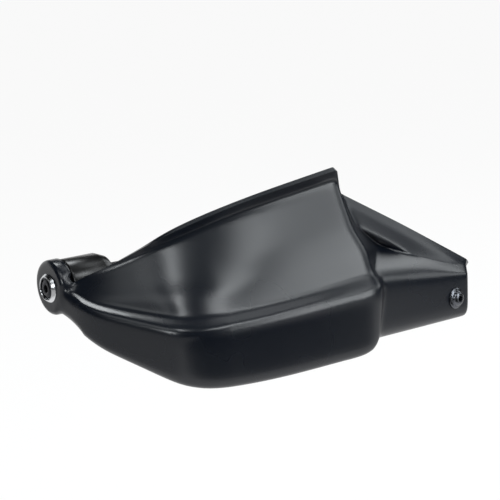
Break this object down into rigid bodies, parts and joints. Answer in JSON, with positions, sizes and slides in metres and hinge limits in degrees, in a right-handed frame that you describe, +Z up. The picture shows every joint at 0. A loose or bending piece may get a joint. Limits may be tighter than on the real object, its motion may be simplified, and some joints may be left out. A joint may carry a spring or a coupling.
{
  "type": "motorcycle hand guard",
  "caption": "Moulded black hand guard with a flared wind deflector, fixed at the handlebar's end by a weight and expander and inboard by a bracket and bar clamp",
  "frame": {"origin": "on the handlebar's axis, at the middle of the expander that grips inside the bar's end", "axes": "+X inboard along the handlebar, -Y forwards in the direction of travel, +Z up"},
  "size_m": [0.2954, 0.1224, 0.1188],
  "materials": {
    "moulded_abs": "fine moulded grain, satin",
    "black_coat": "satin black powder coat on steel",
    "black_alloy": "black anodised",
    "black_steel": "black oxide screw steel",
    "dark_chrome": "dark chromed screw",
    "stainless": "turned stainless steel",
    "zinc_steel": "bright zinc plate",
    "nylon": "black nylon",
    "rubber": "black moulded rubber"
  },
  "bodies": {
    "root": {"guard_shell": "moulded_abs", "lug_bush": "zinc_steel", "bar_end_screw": "black_steel", "cup_washer": "stainless", "seal_washer": "rubber", "bar_end_weight": "black_coat", "expander_sleeve": "rubber", "expander_nut": "zinc_steel", "arm_screw": "dark_chrome", "arm_bush": "zinc_steel", "arm_washer": "nylon", "inner_bracket": "black_coat", "bracket_nut": "zinc_steel", "bracket_screw": "black_steel", "bracket_washer": "zinc_steel", "clamp_lower": "black_alloy", "clamp_upper": "black_alloy", "clamp_liner": "rubber", "clamp_screws": "black_steel", "clamp_washers": "zinc_steel"}
  },
  "joints": []
}
